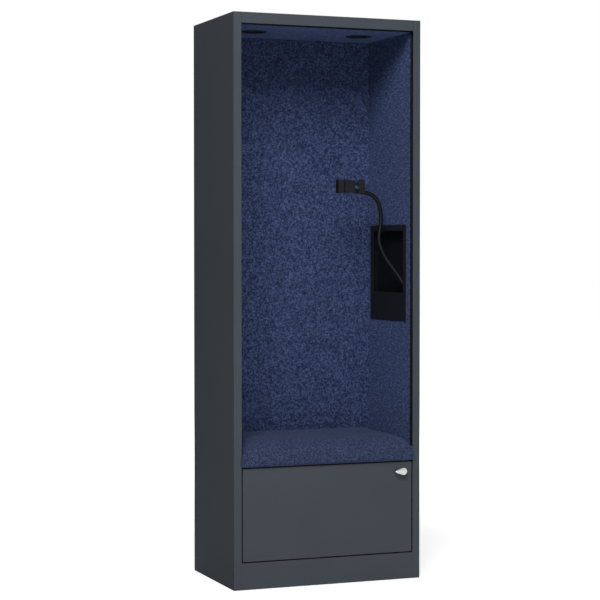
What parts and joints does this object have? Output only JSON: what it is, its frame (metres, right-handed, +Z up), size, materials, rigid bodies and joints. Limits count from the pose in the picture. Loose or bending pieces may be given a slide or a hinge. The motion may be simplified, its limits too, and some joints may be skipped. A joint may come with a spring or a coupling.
{
  "type": "acoustic office pod",
  "caption": "Tall open-front steel seat pod with a felt-lined niche, padded seat over a lockable drawer, ceiling lamps, wall pocket and gooseneck phone holder.",
  "frame": {"origin": "middle of the footprint, knob included, on the floor", "axes": "+Z up, the open front faces -Y, +X to the right as seen from the front"},
  "size_m": [0.7, 0.455, 1.975],
  "materials": {
    "steel_paint": "anthracite fine-texture powder coat",
    "black_paint": "black powder coat",
    "neck_cover": "steel gooseneck in a smooth black cover",
    "zinc": "bright zinc plate",
    "chrome": "polished chrome",
    "felt": "navy melange felt",
    "seat_cloth": "navy melange wool cloth over foam",
    "foam": "grey absorber fleece",
    "plywood": "dark film-faced plywood with sealed edges",
    "black_plastic": "black moulded plastic",
    "rubber": "black rubber",
    "lens": "smoked diffuser, lamp off"
  },
  "bodies": {
    "cabinet": {"back_absorber": "foam", "back_panel": "steel_paint", "edge_trim": "black_plastic", "felt_panel_back": "felt", "felt_panel_ceiling": "felt", "felt_panel_left": "felt", "felt_panel_right": "felt", "floor_panel": "steel_paint", "lamp_body_left": "zinc", "lamp_body_right": "zinc", "lamp_driver": "black_plastic", "lamp_lead_left": "black_plastic", "lamp_lead_right": "black_plastic", "lamp_lens_left": "lens", "lamp_lens_right": "lens", "lamp_trim_left": "black_paint", "lamp_trim_right": "black_paint", "neck_base": "black_paint", "neck_root": "neck_cover", "plinth_panel": "steel_paint", "pocket_bezel": "black_paint", "pocket_tray": "black_paint", "power_inlet": "black_plastic", "runner_bracket_left": "steel_paint", "runner_bracket_right": "steel_paint", "runner_outer_left": "zinc", "runner_outer_right": "zinc", "seat_board": "plywood", "seat_cushion": "seat_cloth", "seat_deck": "steel_paint", "side_panel_left": "steel_paint", "side_panel_right": "steel_paint", "supply_lead": "black_plastic", "top_panel": "steel_paint"},
    "drawer": {"drawer_front": "steel_paint", "drawer_base": "steel_paint", "drawer_back": "steel_paint", "drawer_side_left": "steel_paint", "drawer_side_right": "steel_paint", "runner_inner_left": "zinc", "runner_inner_right": "zinc", "lock_barrel": "chrome", "lock_nut": "zinc"},
    "runner_slides": {"runner_middle_left": "zinc", "runner_middle_right": "zinc"},
    "lock": {"lock_knob": "chrome", "lock_cam": "zinc"},
    "neck_lower_arm": {"neck_middle": "neck_cover"},
    "neck_upper_arm": {"neck_top": "neck_cover"},
    "swivel": {"swivel_collar": "black_plastic"},
    "clamp": {"clamp_housing": "black_plastic"},
    "jaw_right": {"clamp_jaw_right": "black_plastic", "jaw_pad_right": "rubber"},
    "jaw_left": {"clamp_jaw_left": "black_plastic", "jaw_pad_left": "rubber"},
    "foot_front_left": {"levelling_foot_front_left": "rubber"},
    "foot_front_right": {"levelling_foot_front_right": "rubber"},
    "foot_rear_left": {"levelling_foot_rear_left": "rubber"},
    "foot_rear_right": {"levelling_foot_rear_right": "rubber"}
  },
  "joints": [
    {"name": "drawer_slide", "type": "slide", "parent": "cabinet", "child": "drawer", "axis": [0, -1, 0], "range_m": [0, 0.33]},
    {"name": "runner_follow", "type": "slide", "parent": "cabinet", "child": "runner_slides", "axis": [0, -1, 0], "range_m": [0, 0.165]},
    {"name": "lock_turn", "type": "hinge", "parent": "drawer", "child": "lock", "pos_m": [0.279, -0.2075, 0.384], "axis": [0, 1, 0], "range_deg": [0, 90]},
    {"name": "neck_swing", "type": "hinge", "parent": "cabinet", "child": "neck_lower_arm", "pos_m": [0.28194, -0.07163, 1.12957], "axis": [0, 0, 1], "range_deg": [-25, 40]},
    {"name": "neck_bend", "type": "hinge", "parent": "neck_lower_arm", "child": "neck_upper_arm", "pos_m": [0.26551, -0.04031, 1.2216], "axis": [0, 1, 0], "range_deg": [-25, 8]},
    {"name": "holder_tilt", "type": "hinge", "parent": "neck_upper_arm", "child": "swivel", "pos_m": [0.13965, -0.0475, 1.392], "axis": [1, 0, 0], "range_deg": [-20, 20]},
    {"name": "holder_turn", "type": "hinge", "parent": "swivel", "child": "clamp", "pos_m": [0.13965, -0.0475, 1.392], "axis": [0, 1, 0], "range_deg": [-90, 90]},
    {"name": "jaw_right_slide", "type": "slide", "parent": "clamp", "child": "jaw_right", "axis": [1, 0, 0], "range_m": [-0.019, 0.008]},
    {"name": "jaw_left_slide", "type": "slide", "parent": "clamp", "child": "jaw_left", "axis": [-1, 0, 0], "range_m": [-0.019, 0.008]},
    {"name": "foot_front_left_screw", "type": "slide", "parent": "cabinet", "child": "foot_front_left", "axis": [0, 0, -1], "range_m": [0, 0.015]},
    {"name": "foot_front_right_screw", "type": "slide", "parent": "cabinet", "child": "foot_front_right", "axis": [0, 0, -1], "range_m": [0, 0.015]},
    {"name": "foot_rear_left_screw", "type": "slide", "parent": "cabinet", "child": "foot_rear_left", "axis": [0, 0, -1], "range_m": [0, 0.015]},
    {"name": "foot_rear_right_screw", "type": "slide", "parent": "cabinet", "child": "foot_rear_right", "axis": [0, 0, -1], "range_m": [0, 0.015]}
  ],
  "couplings": [
    {"joint": "runner_follow", "follows": "drawer_slide", "ratio": 0.5},
    {"joint": "jaw_left_slide", "follows": "jaw_right_slide", "ratio": 1}
  ]
}
